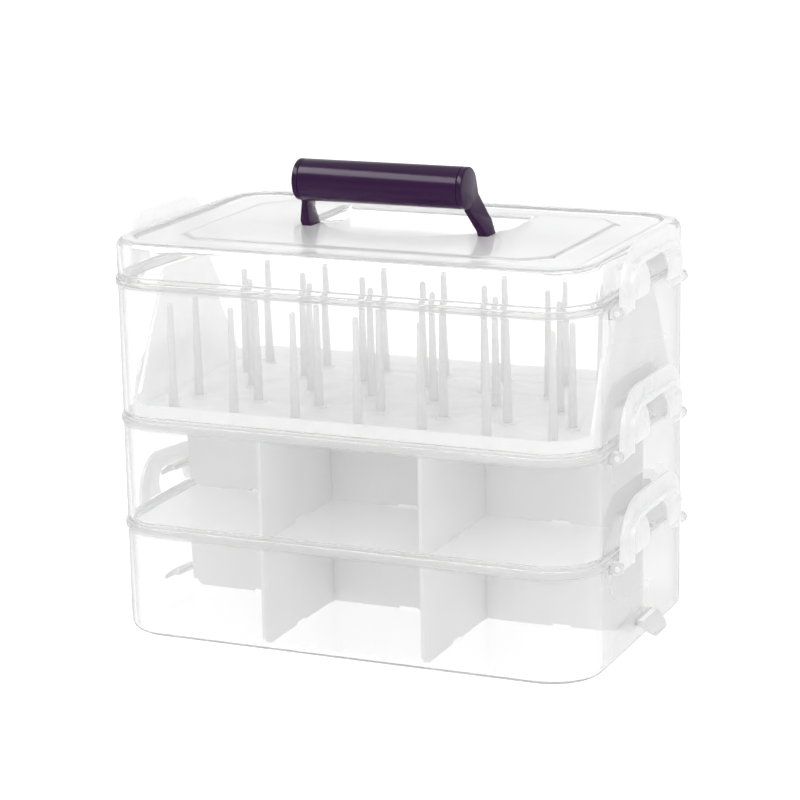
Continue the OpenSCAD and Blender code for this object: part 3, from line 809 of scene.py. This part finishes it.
def armMesh(side):
    a = arm
    disc, front, boss, rear = armOutline()
    outline = disc + front + boss + rear
    bm = bmesh.new()
    skins = {}
    for face in ("In", "Out"):
        skins[face] = [bm.verts.new((side * armSkinX(face, z), y, z)) for y, z in outline]
    n, count = len(disc), len(outline)
    for ring in skins.values():
        bm.faces.new(ring[:n + 1] + [ring[-1]])
        bm.faces.new([ring[-1], ring[n], ring[n + 1], ring[-3], ring[-2]])
        bm.faces.new(ring[n + 1:-2])
    for i in range(count):
        j = (i + 1) % count
        bm.faces.new((skins["In"][i], skins["In"][j], skins["Out"][j], skins["Out"][i]))
    bmesh.ops.recalc_face_normals(bm, faces=bm.faces)
    sharp = [e for e in bm.edges if e.calc_face_angle(0) > math.radians(40)]
    bmesh.ops.bevel(bm, geom=sharp, offset=a["edge"], segments=3, profile=0.5, affect="EDGES",
                    clamp_overlap=True)
    middle = (a["legIn"] + a["legOut"]) / 2
    ends = []
    for x in (middle - a["studReach"], middle + a["studReach"]):
        ends.append([bm.verts.new((side * x, y, z)) for y, z in arcPoints(0, 0, a["studRadius"], 0, 345, 23)])
    bridgeRings(bm, ends)
    bm.faces.new(ends[0])
    bm.faces.new(list(reversed(ends[1])))
    lean = Matrix.Rotation(math.radians(a["lean"]), 4, "X")
    turn = Matrix.Translation((0, a["pivotY"], a["pivotZ"])) @ lean
    bmesh.ops.transform(bm, matrix=turn, verts=bm.verts)
    return bm


for sideName, side in (("left", -1), ("right", 1)):
    armPiece = toObject(armMesh(side), f"handle_{sideName}_arm_moulded", handlePlastic, 40.0)
    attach(armPiece, "handle")
    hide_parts(f"handle_{sideName}_arm")
print("stage: handle arms made")


# Spool pins: one pin, repeated along each row by Geometry Nodes

pinRows = {
    "rows": 5,
    "perRow": 7,
    "shortRow": 2,       # this row, counted from 0 at the front, has one pin fewer
    "pitch": 30.9,
    "rowPitch": 25.0,
    "frontRow": -50.0,
    "footZ": 103.0,
    "height": 51.0,
    "footRadius": 2.2,
    "tipRadius": 1.3,
    "pegDepth": 1.4,
    "sides": 20,
}


def onePin():
    p = pinRows
    r0, r1, h = p["footRadius"], p["tipRadius"], p["height"]
    profile = [(0, -p["pegDepth"]), (r0 - 0.2, -p["pegDepth"]), (r0, -p["pegDepth"] + 0.2), (r0, 1.0)]
    profile += [(r0 + (r1 - r0) * t, 1.0 + (h - r1 - 1.0) * t) for t in (0.25, 0.5, 0.75, 1.0)]
    profile += [(x, z) for x, z in arcPoints(0, h - r1, r1, 15, 90, 5)]
    bm = bmesh.new()
    turns = [2 * math.pi * i / p["sides"] for i in range(p["sides"])]
    rings = []
    for radius, z in profile[1:-1]:
        rings.append([bm.verts.new((radius * math.cos(turn), radius * math.sin(turn), z)) for turn in turns])
    bridgeRings(bm, rings)
    low, high = bm.verts.new((0, 0, profile[0][1])), bm.verts.new((0, 0, profile[-1][1]))
    for i in range(p["sides"]):
        j = (i + 1) % p["sides"]
        bm.faces.new((rings[0][j], rings[0][i], low))
        bm.faces.new((rings[-1][i], rings[-1][j], high))
    return toObject(bm, "one_pin", pinPlastic)


def pinRowTree(pin):
    tree = bpy.data.node_groups.new("spool pin row", "GeometryNodeTree")
    face = tree.interface
    face.new_socket("Geometry", in_out="OUTPUT", socket_type="NodeSocketGeometry")
    for name, kind in (("Pins", "NodeSocketInt"), ("Pitch", "NodeSocketFloat"), ("Row Y", "NodeSocketFloat"),
                       ("Foot Z", "NodeSocketFloat")):
        face.new_socket(name, in_out="INPUT", socket_type=kind)
    given = addNode(tree, "NodeGroupInput")
    fewer = addNode(tree, "ShaderNodeMath", {"operation": "SUBTRACT", "in:1": 1.0}, {"0": (given, "Pins")})
    span = addNode(tree, "ShaderNodeMath", {"operation": "MULTIPLY"},
                   {"0": (fewer, 0), "1": (given, "Pitch")})
    start = addNode(tree, "ShaderNodeMath", {"operation": "MULTIPLY", "in:1": -0.5},
                    {"0": (span, 0)})
    first = addNode(tree, "ShaderNodeCombineXYZ", None,
                    {"X": (start, 0), "Y": (given, "Row Y"), "Z": (given, "Foot Z")})
    step = addNode(tree, "ShaderNodeCombineXYZ", None, {"X": (given, "Pitch")})
    line = addNode(tree, "GeometryNodeMeshLine", {"mode": "OFFSET", "count_mode": "TOTAL"},
                   {"Count": (given, "Pins"), "Start Location": (first, 0), "Offset": (step, 0)})
    shape = addNode(tree, "GeometryNodeObjectInfo", {"in:Object": pin})
    placed = addNode(tree, "GeometryNodeInstanceOnPoints", None,
                     {"Points": (line, "Mesh"), "Instance": (shape, "Geometry")})
    real = addNode(tree, "GeometryNodeRealizeInstances", None, {"Geometry": (placed, "Instances")})
    dressed = addNode(tree, "GeometryNodeSetMaterial", {"in:Material": pinPlastic},
                      {"Geometry": (real, "Geometry")})
    addNode(tree, "NodeGroupOutput", None, {"Geometry": (dressed, "Geometry")})
    return tree


def makePins():
    p = pinRows
    pin = onePin()
    tree = pinRowTree(pin)
    sockets = {item.name: item.identifier for item in tree.interface.items_tree if item.in_out == "INPUT"}
    for row in range(p["rows"]):
        obj = bpy.data.objects.new(f"spool_pins_row_{row + 1}_moulded", bpy.data.meshes.new("pins"))
        bpy.context.scene.collection.objects.link(obj)
        grow = obj.modifiers.new("pins", "NODES")
        grow.node_group = tree
        grow[sockets["Pins"]] = p["perRow"] - (1 if row == p["shortRow"] else 0)
        grow[sockets["Pitch"]] = p["pitch"] * mm
        grow[sockets["Row Y"]] = (p["frontRow"] + row * p["rowPitch"]) * mm
        grow[sockets["Foot Z"]] = p["footZ"] * mm
        bakeModifiers(obj)
        finishMesh(obj, pinPlastic, 40.0)
        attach(obj, "tray")
        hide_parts(f"spool_pins_row_{row + 1}")
    data = pin.data
    bpy.data.objects.remove(pin)
    bpy.data.meshes.remove(data)


makePins()
print("stage: spool pins made")


# Dividers keep their CAD nodes, which are flat sheets already

for level in ("bottom", "middle"):
    for kind in ("long_divider", "cross_divider_left", "cross_divider_right"):
        sheet = nodes[f"{level}_{kind}"]
        sheet.data.materials.clear()
        sheet.data.materials.append(dividerPlastic)
print("stage: dividers dressed")


# Studio: floor, light and camera

def makeFloor():
    bm = bmesh.new()
    bmesh.ops.create_grid(bm, x_segments=2, y_segments=2, size=studio["floorHalf"])
    mesh = bpy.data.meshes.new("studio_floor")
    bm.to_mesh(mesh)
    bm.free()
    floor = bpy.data.objects.new("studio_floor", mesh)
    bpy.context.scene.collection.objects.link(floor)
    floor.location.z = -0.0002
    mesh.materials.append(studioPaper())


def areaLight(name, place, target, width, height, power):
    lamp = bpy.data.lights.new(name, "AREA")
    lamp.shape = "RECTANGLE"
    lamp.size = width
    lamp.size_y = height
    lamp.energy = power
    obj = bpy.data.objects.new(name, lamp)
    bpy.context.scene.collection.objects.link(obj)
    obj.location = place
    obj.rotation_euler = (Vector(target) - Vector(place)).to_track_quat("-Z", "Y").to_euler()
    return obj


def makeWorld():
    world = bpy.data.worlds.new("studio")
    bpy.context.scene.world = world
    world.use_nodes = True
    tree = world.node_tree
    tree.nodes.clear()
    back = addNode(tree, "ShaderNodeBackground",
                   {"in:Color": hexColour("#ffffff"), "in:Strength": studio["worldStrength"]})
    addNode(tree, "ShaderNodeOutputWorld", None, {"Surface": (back, "Background")})


makeFloor()
makeWorld()
areaLight("soft box above", (0.1, 0.1, 1.5), (0, 0, 0.1), 1.6, 1.2, studio["topPower"])
areaLight("soft box front right", (1.1, -1.1, 0.9), (0, 0, 0.1), 0.9, 1.2, studio["keyPower"])
window = areaLight("window for highlights", (-0.47, -0.64, 1.09), (0, 0, 0.2), 1.7, 0.55,
                   studio["windowPower"])
window.visible_diffuse = False   # it gives the grip its bright band and lights nothing else

view = {
    "yaw": 24.0,
    "pitch": 14.05,
    "roll": -1.15,
    "distance": 1331.0,   # from the middle of the stack, in millimetres
    "middleZ": 90.0,
    "slideX": -1.9,
    "slideZ": 12.5,
    "sensor": 36.0,
    "focalPixels": 2879.0,
    "framePixels": 800,
}


def makeCamera():
    yaw, pitch, roll = (math.radians(view[k]) for k in ("yaw", "pitch", "roll"))
    ahead = Vector((-math.sin(yaw) * math.cos(pitch), math.cos(yaw) * math.cos(pitch), -math.sin(pitch)))
    right = Vector((math.cos(yaw), math.sin(yaw), 0))
    up = right.cross(ahead)
    right, up = (math.cos(roll) * right + math.sin(roll) * up, -math.sin(roll) * right + math.cos(roll) * up)
    middle = Vector((0, 0, view["middleZ"]))
    place = middle - ahead * view["distance"] + right * view["slideX"] + up * view["slideZ"]
    cam = bpy.data.cameras.new("camera")
    cam.lens = view["focalPixels"] / view["framePixels"] * view["sensor"]
    cam.sensor_width = view["sensor"]
    cam.clip_end = 100.0
    obj = bpy.data.objects.new("camera", cam)
    bpy.context.scene.collection.objects.link(obj)
    turn = Matrix((right, up, -ahead)).transposed().to_4x4()
    obj.matrix_world = Matrix.Translation(place * mm) @ turn
    bpy.context.scene.camera = obj


makeCamera()
scene = bpy.context.scene
scene.view_settings.view_transform = "Standard"
scene.cycles.max_bounces = 24
scene.cycles.transmission_bounces = 24
scene.cycles.transparent_max_bounces = 48
scene.cycles.glossy_bounces = 6
scene.cycles.caustics_reflective = False
scene.cycles.caustics_refractive = False
print("stage: studio ready")
